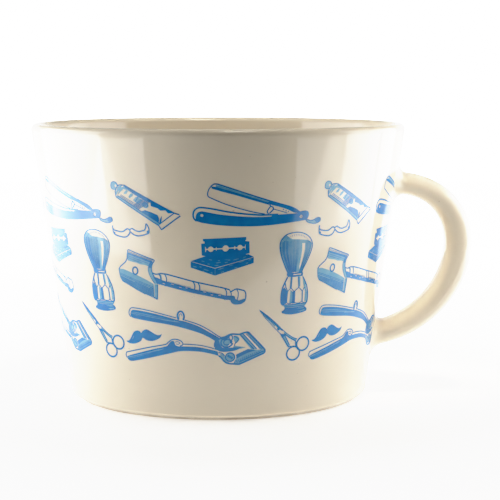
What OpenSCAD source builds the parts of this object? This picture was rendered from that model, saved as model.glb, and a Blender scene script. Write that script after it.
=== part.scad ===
// Shaving mug: a wide, low, tapered ceramic mug with one loop handle,
// a glossy glaze and a blue fired-on print that repeats around the wall.
// Millimetres. The foot stands on z = 0, the mug's axis is Z and the handle points along +X.

/* [Cup] */
// Outer diameter at the top of the wall
rim_diameter = 110; // [90:1:130]
// Height from the table to the lip
mug_height = 80; // [66:1:96]
// Outer diameter the tapered wall would have at the table
base_diameter = 87; // [70:1:105]
// Thickness of the wall with its glaze; the lip is a full round of this width
wall_thickness = 3.4; // [2.6:0.1:4.6]
// Height of the inside floor above the table
floor_height = 6; // [5:0.2:8]
// Radius where the inside wall runs into the floor
inside_corner_radius = 11; // [6:0.5:16]
// Thickness of the fired glaze coat
glaze_thickness = 0.3; // [0.2:0.05:0.5]

/* [Foot] */
// Rounding of the wall above the foot ring
heel_radius = 1.6; // [1.2:0.1:2.4]
// Height of the middle of the heel rounding
heel_height = 2.4; // [2.2:0.1:4]
// How far the bare foot ring is set in from the wall's line at the table
foot_inset = 1.6; // [1.4:0.1:4]
// Width of the foot ring's flat
foot_width = 3.2; // [2:0.2:5]
// Chamfer on both edges of the foot ring
foot_chamfer = 0.4; // [0.2:0.1:0.6]
// Depth of the hollow under the mug
recess_depth = 2; // [1.2:0.1:2.6]

/* [Handle] */
// How far below the lip the handle's centre line leaves the wall
handle_drop = 17.7; // [13:0.1:22]
// How far below that the handle reaches farthest out
handle_shoulder = 17.8; // [12:0.1:22]
// Height of the handle's centre line where it meets the wall at the bottom
handle_bottom_height = 17.2; // [14:0.1:21]
// How far the handle's centre line stands out from the wall at that height
handle_reach = 21; // [17:0.1:26]
// Thickness where the handle joins the cup
root_thickness = 5.9; // [5:0.1:7]
// Thickness at the farthest point
middle_thickness = 7.4; // [6:0.1:9]
// Width where the handle joins the cup
root_width = 14.5; // [12:0.1:17]
// Width at the farthest point
middle_width = 13; // [11:0.1:16]
// Radius of the slip fillets at the two joints, measured on the glaze
slip_radius = 3; // [2:0.1:4]

/* [Print] */
// Angle from one repeat of the print to the next
repeat_angle = 66; // [60:0.5:72]
// Width of the plain gap that the handle stands in
handle_gap_angle = 28; // [24:1:40]
// Thickness of the fired print
print_thickness = 0.06; // [0.05:0.01:0.12]

/* [Hidden] */
$fn = 96;
rim_r = rim_diameter / 2;
base_r = base_diameter / 2;
lean = atan((rim_r - base_r) / mug_height);
lip_r = wall_thickness / 2;
lip_z = mug_height - lip_r;
lip_x = rim_r - lip_r * (1 + sin(lean)) * tan(lean) - lip_r * cos(lean);
foot_r = base_r - foot_inset;
foot_inner_r = foot_r - foot_width;
heel_end = -78;
recess_corner = 1.1;
recess_edge = 0.8;
corner_reach = lip_r + inside_corner_radius;
corner_z = floor_height + inside_corner_radius;
corner_run = (lip_z + corner_reach * sin(lean) - corner_z) / cos(lean);
corner_x = lip_x - corner_reach * cos(lean) - corner_run * sin(lean);
// print drawings are laid out on a cup 100 mm across and 80 mm high
drawing_r = 50;
drawing_height = 80;
fit_up = mug_height / drawing_height;
print_low = 12 * fit_up;
print_high = 70 * fit_up;

clay_colour = [0.86, 0.83, 0.77];
glaze_colour = [0.96, 0.94, 0.88];
ink_colour = [0.06, 0.40, 0.68];

// [all, cup_body, handle, cup_glaze, handle_glaze]

// ---------- shared sizes of the wall ----------

function wall_r(z) = base_r + (rim_r - base_r) * z / mug_height;
function clay_r(z) = wall_r(z) - glaze_thickness / cos(lean);
function arc_points(x, z, r, from, to, steps) =
    [for (i = [0 : steps]) let (a = from + (to - from) * i / steps) [x + r * cos(a), z + r * sin(a)]];

// heel, outer wall, lip, inner wall and inside floor; depth goes from the glaze into the clay
function cup_outline(depth) = concat(
    arc_points(heel_x(), heel_height, heel_radius - depth, heel_end, -lean, 8),
    arc_points(lip_x, lip_z, lip_r - depth, -lean, 180 - lean, 16),
    arc_points(corner_x, corner_z, inside_corner_radius + depth, -lean, -90, 12),
    [[0, floor_height - depth]]);
function heel_x() = wall_r(heel_height) - heel_radius / cos(lean);
function heel_tip(depth) = [heel_x() + (heel_radius - depth) * cos(heel_end),
                            heel_height + (heel_radius - depth) * sin(heel_end)];
function recess_outline(depth) = concat(
    [[foot_inner_r, recess_edge]],
    arc_points(foot_inner_r - recess_corner, recess_depth - recess_corner, recess_corner + depth, 8, 90, 5),
    [[0, recess_depth + depth]]);

// ---------- cup ----------

module cup_body() {
    color(clay_colour)
        rotate_extrude()
            polygon(concat(
                [[foot_inner_r, foot_chamfer],
                 [foot_inner_r + foot_chamfer, 0],
                 [foot_r - foot_chamfer, 0],
                 [foot_r, foot_chamfer],
                 [foot_r, heel_tip(glaze_thickness)[1]]],
                cup_outline(glaze_thickness),
                [for (i = [len(recess_outline(0)) - 1 : -1 : 0]) recess_outline(glaze_thickness)[i]]));
}

module cup_glaze() {
    color(glaze_colour)
        difference() {
            rotate_extrude()
                polygon(concat(
                    cup_outline(0),
                    [for (i = [len(cup_outline(0)) - 1 : -1 : 0]) cup_outline(glaze_thickness)[i]]));
            difference() {
                union() {
                    handle_solid(top_rings, "glaze");
                    handle_solid(bottom_rings, "glaze");
                }
                wall_core();
            }
        }
}

// solid cone up to the middle of the wall, which keeps the handle's cut-out off the inside glaze
module wall_core() {
    middle = wall_thickness / 2 / cos(lean);
    cylinder(h = mug_height, r1 = base_r - middle, r2 = rim_r - middle);
}

module underside_glaze() {
    color(glaze_colour)
        rotate_extrude()
            polygon(concat(
                recess_outline(0),
                [for (i = [len(recess_outline(0)) - 1 : -1 : 1]) recess_outline(glaze_thickness)[i]]));
}

// ---------- handle ----------

sides = 24;
roundness = 2 / 2.6;
slip_clay_radius = slip_radius + glaze_thickness;
feather = 0.08;
handle_top_height = mug_height - handle_drop;
handle_middle_height = handle_top_height - handle_shoulder;
root_x_top = wall_r(handle_top_height) - 0.5;
root_x_bottom = wall_r(handle_bottom_height) - 4;
far_x = wall_r(handle_middle_height) + handle_reach;
lead_in = [-2.6, -1.5, -0.9, -0.4];
sweep_angles = [90, 88.5, 87, 85.5, 84, 82, 80, 77.5, 74, 69, 63, 57, 51, 45, 39, 33, 27, 21, 15, 9, 3,
                -3, -9, -15, -21, -27, -33, -39, -45, -51, -57, -62, -66, -69.5, -72.5, -75, -76.5,
                -78, -79.3, -80.4, -81.3, -82, -82.8, -84.5, -87];
ring_count = len(lead_in) + len(sweep_angles);
top_last = 12;
bottom_first = 37;
top_rings = [0 : top_last];
bottom_rings = [bottom_first : ring_count - 1];

function mix(a, b, t) = a + (b - a) * t;
function station_angle(i) = i < len(lead_in) ? 90 : sweep_angles[i - len(lead_in)];
function root_x(a) = mix(root_x_bottom, root_x_top, (1 + sin(a)) / 2);
function rise(a) = mix(handle_middle_height - handle_bottom_height,
                       handle_top_height - handle_middle_height, (1 + sin(a)) / 2);
function centre_at(a) = [root_x(a) + (far_x - root_x(a)) * cos(a), handle_middle_height + rise(a) * sin(a)];
function centre(i) = centre_at(station_angle(i)) + (i < len(lead_in) ? [lead_in[i], 0] : [0, 0]);
function heading(i) = let (a = station_angle(i), d = centre_at(a - 0.5) - centre_at(a + 0.5))
    i < len(lead_in) ? [1, 0] : d / norm(d);
function fullness(i) = pow(cos(station_angle(i)), 2);
function power(v) = sign(v) * pow(abs(v), roundness);
function steep(v) = sign(v) * pow(abs(v), 2 - roundness);

// concave quarter round that grows as a point nears the wall
function quarter(d, r) = d <= 0 ? r : d >= r ? 0 : r - sqrt(r * r - (r - d) * (r - d));
function feather_at(i) = i <= top_last ? feather * (1.25 - i / top_last)
    : i >= bottom_first ? feather * (0.25 + (i - bottom_first) / (ring_count - 1 - bottom_first)) : 0;
function slip_at(p) = min(quarter(norm([p[0], p[1]]) - clay_r(p[2]), slip_clay_radius), slip_clay_radius - 0.15);
function coat_at(p) = glaze_thickness + quarter(norm([p[0], p[1]]) - wall_r(p[2]), slip_radius);
function build_up(kind, i, p) = kind == "clay" ? 0
    : feather_at(i) + (kind == "slip" ? slip_at(p) : coat_at(p));

// a point on ring i, side k, pushed out along its own normal by the local build-up
function section_point(i, k) = let (
    a = 360 * k / sides,
    h = heading(i),
    up = [-h[1], 0, h[0]],
    t = mix(root_thickness, middle_thickness, fullness(i)) / 2,
    w = mix(root_width, middle_width, fullness(i)) / 2)
    [centre(i)[0], 0, centre(i)[1]] + up * t * power(cos(a)) + [0, w * power(sin(a)), 0];
function section_normal(i, k) = let (
    a = 360 * k / sides,
    h = heading(i),
    t = mix(root_thickness, middle_thickness, fullness(i)) / 2,
    w = mix(root_width, middle_width, fullness(i)) / 2,
    n = [-h[1], 0, h[0]] * steep(cos(a)) / t + [0, steep(sin(a)) / w, 0])
    n / norm(n);
function settle(kind, i, p, n, e, tries) =
    tries == 0 ? p + n * e : settle(kind, i, p, n, mix(e, build_up(kind, i, p + n * e), 0.6), tries - 1);
function ring(i, kind) = [for (k = [0 : sides - 1])
    let (p = section_point(i, k), n = section_normal(i, k))
    settle(kind, i, p, n, build_up(kind, i, p), kind == "clay" ? 0 : 6)];
function skin_faces(rows, base, out) = [for (i = [0 : rows - 2]) for (k = [0 : sides - 1])
    let (a = base + i * sides + k, b = base + i * sides + (k + 1) % sides, c = b + sides, d = a + sides)
    for (f = [[a, b, c], [a, c, d]]) out ? f : [f[2], f[1], f[0]]];

// closed sweep of one surface
module handle_solid(rows, kind) {
    count = len([for (i = rows) i]);
    points = [for (i = rows) each ring(i, kind)];
    first_cap = [for (k = [sides - 1 : -1 : 0]) k];
    last_cap = [for (k = [0 : sides - 1]) (count - 1) * sides + k];
    polyhedron(points, concat(skin_faces(count, 0, true), [first_cap, last_cap]));
}

// closed shell between two surfaces, open through its middle
module handle_shell(rows, inner, outer) {
    count = len([for (i = rows) i]);
    points = concat([for (i = rows) each ring(i, outer)], [for (i = rows) each ring(i, inner)]);
    shift = count * sides;
    far = (count - 1) * sides;
    near_end = [for (k = [0 : sides - 1]) let (n = (k + 1) % sides)
        for (f = [[k, shift + k, shift + n], [k, shift + n, n]]) f];
    far_end = [for (k = [0 : sides - 1]) let (n = (k + 1) % sides)
        for (f = [[far + k, far + n, shift + far + n], [far + k, shift + far + n, shift + far + k]]) f];
    polyhedron(points, concat(
        skin_faces(count, 0, true),
        skin_faces(count, shift, false),
        near_end,
        far_end));
}

// the cup's bare outer wall as a solid plug
module cup_plug() {
    cylinder(h = mug_height, r1 = clay_r(0), r2 = clay_r(mug_height), $fn = 240);
}

module handle() {
    color(clay_colour)
        difference() {
            handle_solid([0 : ring_count - 1], "clay");
            cup_plug();
        }
}

module upper_handle_slip() {
    color(clay_colour * 0.96)
        difference() {
            handle_shell(top_rings, "clay", "slip");
            cup_plug();
        }
}

module lower_handle_slip() {
    color(clay_colour * 0.96)
        difference() {
            handle_shell(bottom_rings, "clay", "slip");
            cup_plug();
        }
}

module handle_glaze() {
    color(glaze_colour)
        difference() {
            handle_shell([0 : ring_count - 1], "slip", "glaze");
            cup_plug();
        }
}

// ---------- print ----------

sheet_start = 90 + handle_gap_angle / 2 - 360;
sheet_end = 90 - handle_gap_angle / 2;
// a copy that would leave less than this angle of itself on the sheet is left out
least_scrap = 4;
// drawing units: arc length on the drawing cup against height, both in millimetres
function arc_to_angle(arc) = arc / drawing_r * 180 / PI;
function on_wall(p, middle) = [wall_r(p[1] * fit_up) * sin(arc_to_angle(p[0]) - middle), p[1] * fit_up];
function loop_points(x, z, rx, rz, steps) =
    [for (k = [0 : steps - 1]) [x + rx * cos(360 * k / steps), z + rz * sin(360 * k / steps)]];

// thin film over the printed band of the wall, open where the handle stands
module film() {
    rotate([0, 0, sheet_start - 90])
        rotate_extrude(angle = sheet_end - sheet_start)
            polygon([[wall_r(print_low), print_low],
                     [wall_r(print_low) + print_thickness, print_low],
                     [wall_r(print_high) + print_thickness, print_high],
                     [wall_r(print_high), print_high]]);
}

// one drawing, pushed outward through the film at every repeat that the sheet reaches
module stamp(from, to, outline, holes = []) {
    first = arc_to_angle(from);
    last = arc_to_angle(to);
    middle = (first + last) / 2;
    intersection() {
        film();
        for (k = [-5 : 2])
            if (last + k * repeat_angle > sheet_start + least_scrap
                && first + k * repeat_angle < sheet_end - least_scrap)
                difference() {
                    rotate([0, 0, middle + k * repeat_angle])
                        translate([0, -base_r * 0.6, 0])
                            rotate([90, 0, 0])
                                linear_extrude(height = rim_r)
                                    difference() {
                                        polygon([for (p = outline) on_wall(p, middle)]);
                                        for (h = holes)
                                            polygon([for (p = h) on_wall(p, middle)]);
                                    }
                    if (first + k * repeat_angle < sheet_start)
                        off_sheet(sheet_start, -2 * rim_r);
                    if (last + k * repeat_angle > sheet_end)
                        off_sheet(sheet_end, 0);
                }
    }
}

// what lies past one edge of the sheet, where the handle stands
module off_sheet(edge, from_x) {
    rotate([0, 0, edge])
        translate([from_x, -2 * rim_r, 0])
            cube([2 * rim_r, 2 * rim_r, mug_height]);
}

module print_straight_razors() {
    color(ink_colour) {
        stamp(-5.6, 28.7, concat(
            [[-5.5, 57.6], [-5.2, 58.8], [-4.3, 59.5], [-3.2, 59.6], [1.6, 58.7], [7.6, 58], [10.4, 57.9]],
            [[4.6, 59.9], [0, 61.7], [-1.6, 62.6], [-1.9, 63.6], [-1.4, 65], [-0.5, 65.8], [0.9, 65.8]],
            [[10, 62.5], [15.1, 60.8], [19.6, 59.6], [22, 58], [24.6, 58], [25, 57], [24.6, 55.8]],
            [[26.8, 55.6], [27.9, 56.2], [28.6, 56], [28.6, 55.1], [26.8, 54.5], [24.6, 54.9], [22.8, 55.5]],
            [[19.6, 55.2], [15, 54.7], [10, 54.4], [5, 54.5], [0, 54.9], [-4.3, 55.6], [-5.2, 56.3]]),
            [[[0.4, 62.3], [4.8, 60.5], [10, 58.9], [12.6, 58.4], [13.8, 60], [10, 61.3], [0.2, 64.6], [-0.9, 63.6]],
             [[15.2, 59.3], [19, 58.4], [20.6, 58.3], [19.4, 58.9], [15.2, 60]]]);
    }
}

module print_cream_tubes() {
    color(ink_colour) {
        stamp(-28.2, -8.8,
            [[-28.1, 64.8], [-27.6, 65.8], [-26.6, 66], [-25.9, 65.3], [-24.6, 65.1], [-23.6, 65],
             [-10.1, 57.9], [-8.8, 57.2], [-14, 53.4], [-15.1, 54.5], [-26.4, 61.7], [-26.7, 63.2], [-27.6, 63.8]],
            [[[-17.6, 58.2], [-16.3, 59.8], [-11.4, 57.3], [-13.6, 55.9]],
             [[-21.8, 61.4], [-20.9, 62.6], [-19.1, 61.6], [-20, 60.3]],
             [[-13.8, 54.2], [-9.8, 57.2], [-9.3, 57], [-13.9, 53.8]]]);
    }
}

module print_outline_moustaches() {
    color(ink_colour) {
        stamp(-28.7, -17.4,
            [[-28.5, 54], [-28.2, 53], [-25.6, 52.6], [-24, 53.3], [-22.9, 53.1], [-21.8, 53.4],
             [-20.3, 52.9], [-18.8, 53.5], [-18.2, 54.9], [-17.5, 52.7], [-18.6, 51.8], [-20.6, 51.2],
             [-22.9, 52.2], [-24, 51.2], [-25.6, 50.8], [-28.4, 51.6]],
            [[[-28.1, 52.6], [-28, 51.9], [-25.6, 51.2], [-24.3, 51.6], [-23.3, 52.7], [-25.5, 52.1]],
             [[-22.4, 52.6], [-20.6, 51.6], [-18.8, 52.2], [-18, 52.8], [-18.3, 53.5], [-20.3, 52.5]]]);
    }
}

module print_blade_boxes() {
    color(ink_colour) {
        stamp(-6.6, 10.3,
            [[-3.1, 51], [8.1, 51.6], [8, 50.4], [8.9, 50.3], [9, 47.1], [8.1, 46.9], [10.2, 46],
             [10.2, 44.4], [0, 41], [-6.5, 43.2], [-6.5, 45], [-2.5, 46.4], [-3.4, 46.6], [-3.5, 49.7], [-2.7, 49.8]],
            [[[-2.5, 48], [-1.6, 48.9], [0, 48.4], [1.9, 48.4], [2.8, 49], [3.7, 48.5], [5.6, 48.6], [6.5, 49.3],
              [7.9, 48.9], [7.9, 48], [6.5, 47.8], [5.6, 48.2], [3.7, 48.1], [2.8, 47.6], [1.9, 48.1],
              [0, 48], [-1.6, 47.5]]]);
    }
}

module print_safety_razors() {
    color(ink_colour) {
        stamp(-27.8, 8.5, concat(
            [[-24.2, 47.3], [-16.8, 44.9], [-17.3, 43.7], [-17.5, 41.8], [-14.5, 41.6], [-13.1, 41.4]],
            [[0, 38.1], [3.1, 37.3], [4.2, 36.9], [5.5, 37.4], [7.6, 36.9], [8.4, 35.5], [7.9, 33.8]],
            [[6.7, 33.1], [5.2, 33.4], [4.2, 34.2], [0, 34.9], [-5.8, 36.1], [-10, 37.1], [-14.3, 38.1]],
            [[-15.9, 38.3], [-16.4, 34], [-27, 38.7], [-27.7, 42.2], [-25.1, 44.4]]),
            [[[-24.4, 44.2], [-18.2, 42.6], [-17, 39.2], [-26.6, 42.4]],
             [[-12.9, 40.7], [-6.2, 39.3], [-6.2, 38.3], [-12.9, 39.6]],
             [[-4, 38.7], [2.2, 37.1], [2.2, 36.3], [-4, 37.6]],
             [[6.4, 36.6], [7.4, 36.3], [7.9, 35.4], [7.4, 34.9], [6.4, 35.1]]]);
    }
}

module print_shaving_brushes() {
    color(ink_colour) {
        stamp(17, 27, concat(
            [[22, 52.5], [24.4, 52.1], [26.2, 50.6], [26.9, 48.8], [26.4, 46.6], [24.9, 43.2], [24.4, 41]],
            [[24.5, 39.8], [25.9, 37.6], [26.7, 35.2], [26.7, 32.9], [26, 31.9], [26.7, 30.8], [25.6, 29.9]],
            [[22.8, 29.6], [19.7, 29.9], [18.8, 30.7], [19.4, 31.9], [18.4, 32.9], [18.3, 35.2], [18.8, 37.6]],
            [[19.9, 39.8], [19.8, 41], [19, 43.2], [17.6, 46.2], [17.1, 48.6], [17.9, 50.6], [19.6, 52.1]]),
            [[[19.4, 50.7], [21, 51.8], [23.4, 51.9], [25.4, 50.8], [23.6, 50.3], [21.4, 50.5]],
             [[24.2, 48.6], [24.9, 49], [24.3, 45], [23.4, 41.9], [23, 42], [23.5, 45]],
             [[21.8, 39.6], [23, 39.6], [23.1, 37.2], [22.3, 36], [21.4, 37]],
             [[20.5, 36], [21.3, 36.6], [22, 35.4], [21.8, 32.8], [20.6, 32.8]],
             [[23.6, 36.8], [24.6, 35.6], [24.7, 32.9], [23, 32.6], [22.7, 35.2]]]);
    }
}

module print_clippers() {
    color(ink_colour) {
        stamp(-28.5, 14.5, concat(
            [[-25.7, 29.8], [-25.3, 30.9], [-24.3, 31.3], [-19.9, 30.8], [-15.1, 29.9], [-11.2, 29.1]],
            [[-11.1, 30.2], [-10, 31], [-8.9, 30], [-8.8, 28.5], [-4.9, 27.4], [-1.9, 25.9], [1.6, 23.9]],
            [[3.1, 24.6], [6.7, 25], [9.3, 25.7], [14.5, 20.6], [14.4, 19.4], [6.7, 16.2], [3.1, 16.8]],
            [[0.7, 18.8], [-4.9, 19.9], [-10, 19.8], [-13.9, 19], [-19.9, 17.5], [-26.2, 16.1], [-28.3, 17.2]],
            [[-27.8, 18.6], [-19.9, 20.7], [-14.2, 21.8], [-12.9, 22.9], [-11.4, 23.3], [-9.6, 22.4]],
            [[-4.9, 21.8], [-0.3, 20.8], [-0.2, 22.4], [-4.9, 25], [-10, 26.5], [-19.9, 27.8], [-24.4, 28.3]]),
            [[[-24.8, 30.4], [-19.9, 30.1], [-15.1, 29.3], [-19.9, 29.7], [-24.8, 30]],
             [[7, 23.6], [8.3, 24.2], [12, 20.4], [10, 20.7]],
             [[-26.8, 18.1], [-15.1, 20.9], [-19.9, 19.4], [-26.8, 17.7]]]);
    }
}

module print_solid_moustaches() {
    color(ink_colour) {
        stamp(-27.6, -15.7,
            [[-27.5, 22], [-26.8, 22.1], [-25.9, 22.8], [-24.9, 24.3], [-23.6, 25], [-22.3, 24.8],
             [-21.5, 25.4], [-20.4, 25.5], [-19, 25], [-17.4, 24.1], [-15.8, 24.5], [-16.3, 23.5],
             [-17.8, 22.6], [-19.4, 22.4], [-20.8, 22.6], [-21.9, 23.2], [-23.4, 21.9], [-25.2, 21.2], [-26.7, 21.4]]);
    }
}

module print_scissors() {
    color(ink_colour) {
        stamp(12.1, 28.8, concat(
            [[12.2, 31.5], [15.2, 28.9], [18, 26.8], [19, 25.9], [21, 24.6], [24, 22.9], [24.9, 23.1]],
            [[26.4, 23.4], [28, 22.7], [28.7, 21.1], [28, 19.6], [26.4, 18.9], [25.4, 19.2], [25.6, 18.3]],
            [[24.8, 17], [23.2, 16.6], [21.5, 17.3], [20.9, 18.8], [21.6, 20.2], [20.2, 22.5], [18.6, 24.6]],
            [[17.8, 25.7], [15.2, 28.2]]),
            [loop_points(26.4, 21.2, 1.8, 1.75, 16),
             loop_points(23.2, 18.7, 1.85, 1.7, 16),
             [[20.1, 24], [21.6, 23.6], [23.6, 22.4], [23.9, 21], [22.6, 21.1]]]);
    }
}

cup_body();
handle();
upper_handle_slip();
lower_handle_slip();
cup_glaze();
handle_glaze();
underside_glaze();
print_straight_razors();
print_cream_tubes();
print_outline_moustaches();
print_blade_boxes();
print_safety_razors();
print_shaving_brushes();
print_clippers();
print_solid_moustaches();
print_scissors();
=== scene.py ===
"""Shaving mug: cream-glazed, with a loop handle and a blue fired-on print that repeats around it."""
import math

import bmesh
import bpy
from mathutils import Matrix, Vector
from mathutils.geometry import tessellate_polygon


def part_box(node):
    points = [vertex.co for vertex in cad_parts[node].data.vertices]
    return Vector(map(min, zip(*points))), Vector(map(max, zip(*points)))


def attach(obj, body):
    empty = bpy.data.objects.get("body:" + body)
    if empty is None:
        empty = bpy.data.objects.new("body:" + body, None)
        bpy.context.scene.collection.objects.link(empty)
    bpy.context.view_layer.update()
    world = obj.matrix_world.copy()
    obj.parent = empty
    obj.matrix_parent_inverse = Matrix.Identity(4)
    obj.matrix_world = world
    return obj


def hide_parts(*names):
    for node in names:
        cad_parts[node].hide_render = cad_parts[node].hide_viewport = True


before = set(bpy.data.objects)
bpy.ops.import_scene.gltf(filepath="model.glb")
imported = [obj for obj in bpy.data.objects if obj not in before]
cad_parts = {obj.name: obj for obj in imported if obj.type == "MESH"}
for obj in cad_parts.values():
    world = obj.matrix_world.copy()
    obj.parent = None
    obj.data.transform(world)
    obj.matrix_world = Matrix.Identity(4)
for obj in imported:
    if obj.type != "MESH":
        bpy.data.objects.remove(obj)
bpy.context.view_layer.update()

MM = 0.001

# ---------- size that the frame gives ----------

_, glaze_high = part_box("cup_glaze")
MUG_HEIGHT = glaze_high.z

# ---------- sizes of the ceramic, as in the design ----------

RIM_RADIUS = 55 * MM
BASE_RADIUS = 43.5 * MM
WALL_THICKNESS = 3.4 * MM
LIP_RADIUS = WALL_THICKNESS / 2
FLOOR_HEIGHT = 6 * MM
INSIDE_CORNER = 11 * MM
GLAZE_THICKNESS = 0.3 * MM
HEEL_RADIUS = 1.6 * MM
HEEL_HEIGHT = 2.4 * MM
HEEL_END = math.radians(-78)
FOOT_RADIUS = BASE_RADIUS - 1.6 * MM
FOOT_WIDTH = 3.2 * MM
FOOT_CHAMFER = 0.4 * MM
RECESS_DEPTH = 2 * MM
RECESS_CORNER = 1.1 * MM
RECESS_EDGE = 0.8 * MM
LEAN = math.atan2(RIM_RADIUS - BASE_RADIUS, MUG_HEIGHT)
LATHE_STEPS = 288
ON_AXIS = 1e-7
HEEL_STEPS, LIP_STEPS, CORNER_STEPS = 14, 28, 24
OUTER_WALL_STEPS, INNER_WALL_STEPS, INSIDE_FLOOR_STEPS = 80, 30, 14
RECESS_CORNER_STEPS, RECESS_STEPS = 10, 12
CHAMFER_STEPS, FOOT_STEPS = 5, 6
RECESS_DRAFT = math.radians(8)
UNEVEN_SIDES, UNEVEN_RINGS = 0.035 * MM, 0.008 * MM
RING_PITCH = 3.1 * MM
EVEN_BELOW = 10 * MM


def wall_radius(z):
    return BASE_RADIUS + (RIM_RADIUS - BASE_RADIUS) * z / MUG_HEIGHT


def settle_in(angle, z):
    """How far the hand-finished wall lies inside the true cone, at most about a tenth of a millimetre."""
    sides = 1 + math.sin(2 * angle + 0.7)
    rings = 1 + math.sin(z / RING_PITCH + 0.6 * math.sin(3 * angle))
    return (UNEVEN_SIDES * sides + UNEVEN_RINGS * rings) * min(1.0, z / EVEN_BELOW)


# ---------- mesh helpers ----------

def make_object(name, vertices, faces, material):
    mesh = bpy.data.meshes.new(name)
    mesh.from_pydata([tuple(v) for v in vertices], [], faces)
    mesh.update()
    mesh.shade_smooth()
    mesh.materials.append(material)
    obj = bpy.data.objects.new(name, mesh)
    bpy.context.scene.collection.objects.link(obj)
    return obj


def place(obj, slot, *nodes):
    """Rides on the mug and stands for the CAD nodes named, which it hides. The slot argument is not used."""
    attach(obj, "root")
    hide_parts(*nodes)
    return obj


def mix(a, b, t):
    return a + (b - a) * t


def between(a, b, t):
    return mix(a[0], b[0], t), mix(a[1], b[1], t)


def arc(x, z, radius, start, end, steps):
    angles = [start + (end - start) * i / steps for i in range(steps + 1)]
    return [(x + radius * math.cos(a), z + radius * math.sin(a)) for a in angles]


def run(start, end, steps):
    """Points between two ends, without the ends."""
    return [between(start, end, i / steps) for i in range(1, steps)]


def lathe(name, outline, material):
    """Turns a closed outline around Z. Points on the axis become one vertex."""
    vertices = []
    rows = []
    for radius, z in outline:
        if radius < ON_AXIS:
            rows.append([len(vertices)] * LATHE_STEPS)
            vertices.append((0, 0, z))
            continue
        row = []
        for k in range(LATHE_STEPS):
            angle = 2 * math.pi * k / LATHE_STEPS
            r = radius - settle_in(angle, z) if radius > BASE_RADIUS / 2 else radius
            row.append(len(vertices))
            vertices.append((r * math.cos(angle), r * math.sin(angle), z))
        rows.append(row)
    faces = []
    count = len(rows)
    for i in range(count):
        a, b = rows[i], rows[(i + 1) % count]
        for k in range(LATHE_STEPS):
            n = (k + 1) % LATHE_STEPS
            face = []
            for v in (a[k], a[n], b[n], b[k]):
                if v not in face:
                    face.append(v)
            if len(face) > 2:
                faces.append(face)
    return make_object(name, vertices, faces, material)


# ---------- node materials ----------

def map_range(tree, source, low, high, to_low, to_high, ease="LINEAR"):
    node = tree.nodes.new("ShaderNodeMapRange")
    node.interpolation_type = ease
    for key, value in zip(("From Min", "From Max", "To Min", "To Max"), (low, high, to_low, to_high)):
        node.inputs[key].default_value = value
    tree.links.new(source, node.inputs["Value"])
    return node.outputs["Result"]


class Nodes:
    """A small builder for one node material."""

    def __init__(self, name):
        self.material = bpy.data.materials.new(name)
        self.material.use_nodes = True
        self.tree = self.material.node_tree
        self.shader = self.tree.nodes["Principled BSDF"]
        self.place = self.add("ShaderNodeTexCoord").outputs["Object"]

    def add(self, kind, **settings):
        node = self.tree.nodes.new(kind)
        for key, value in settings.items():
            setattr(node, key, value)
        return node

    def link(self, source, target):
        self.tree.links.new(source, target)

    def noise(self, scale, detail=3, roughness=0.5):
        node = self.add("ShaderNodeTexNoise")
        node.inputs["Scale"].default_value = scale
        node.inputs["Detail"].default_value = detail
        node.inputs["Roughness"].default_value = roughness
        self.link(self.place, node.inputs["Vector"])
        return node.outputs["Fac"]

    def ramp(self, factor, stops):
        node = self.add("ShaderNodeValToRGB")
        while len(node.color_ramp.elements) < len(stops):
            node.color_ramp.elements.new(0.5)
        for element, (position, colour) in zip(node.color_ramp.elements, stops):
            element.position = position
            element.color = (*colour, 1)
        self.link(factor, node.inputs["Fac"])
        return node.outputs["Color"]

    def levels(self, factor, *limits):
        return map_range(self.tree, factor, *limits)

    def mix(self, factor, under, over):
        """One colour socket with a plain colour over it, as far as the factor says."""
        node = self.add("ShaderNodeMix", data_type="RGBA")
        sockets = {socket.name: socket for socket in node.inputs if socket.enabled}
        self.link(factor, sockets["Factor"])
        self.link(under, sockets["A"])
        sockets["B"].default_value = (*over, 1)
        return next(socket for socket in node.outputs if socket.enabled)

    def bump(self, height, depth, under=None):
        node = self.add("ShaderNodeBump")
        node.inputs["Strength"].default_value = 1
        node.inputs["Distance"].default_value = depth
        self.link(height, node.inputs["Height"])
        if under is not None:
            self.link(under, node.inputs["Normal"])
        return node.outputs["Normal"]

    def set(self, **values):
        for key, value in values.items():
            socket = self.shader.inputs[key.replace("_", " ")]
            if isinstance(value, (int, float)):
                socket.default_value = value
            else:
                self.link(value, socket)


GLAZE_LIGHT = (0.86, 0.770, 0.620)
GLAZE_WARM = (0.84, 0.740, 0.580)
GLAZE_SPECK = (0.40, 0.31, 0.20)
INK_DEEP = (0.001, 0.175, 0.500)
INK_THIN = (0.004, 0.235, 0.560)
TONE_DEEP = (0.110, 0.370, 0.580)
TONE_THIN = (0.200, 0.440, 0.600)
CLAY_LIGHT = (0.80, 0.73, 0.62)
CLAY_DARK = (0.62, 0.53, 0.42)
FLOOR_LIGHT = (0.93, 0.925, 0.915)
FLOOR_DARK = (0.90, 0.895, 0.885)
FLOOR_GLOW = (1, 0.99, 0.97)
GLOW_START, GLOW_END = 0.08, 0.36
GLOW_NEAR, GLOW_FAR = 0.41, 2.3


def glaze_material():
    """Glossy cream glaze: a slow change of tone, the odd iron speck and a soft orange-peel surface."""
    n = Nodes("cream_glaze")
    tone = n.ramp(n.noise(22, 4, 0.55), [(0.30, GLAZE_WARM), (0.70, GLAZE_LIGHT)])
    speck = n.levels(n.noise(900, 2, 0.4), 0.775, 0.80, 0, 0.45)
    n.set(Base_Color=n.mix(speck, tone, GLAZE_SPECK))
    n.set(Roughness=n.levels(n.noise(60, 3), 0.3, 0.7, 0.055, 0.095))
    peel = n.bump(n.noise(330, 2, 0.35), 0.004 * MM)
    n.set(Normal=n.bump(n.noise(70, 2, 0.4), 0.03 * MM, peel))
    n.set(IOR=1.52)
    return n.material


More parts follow.
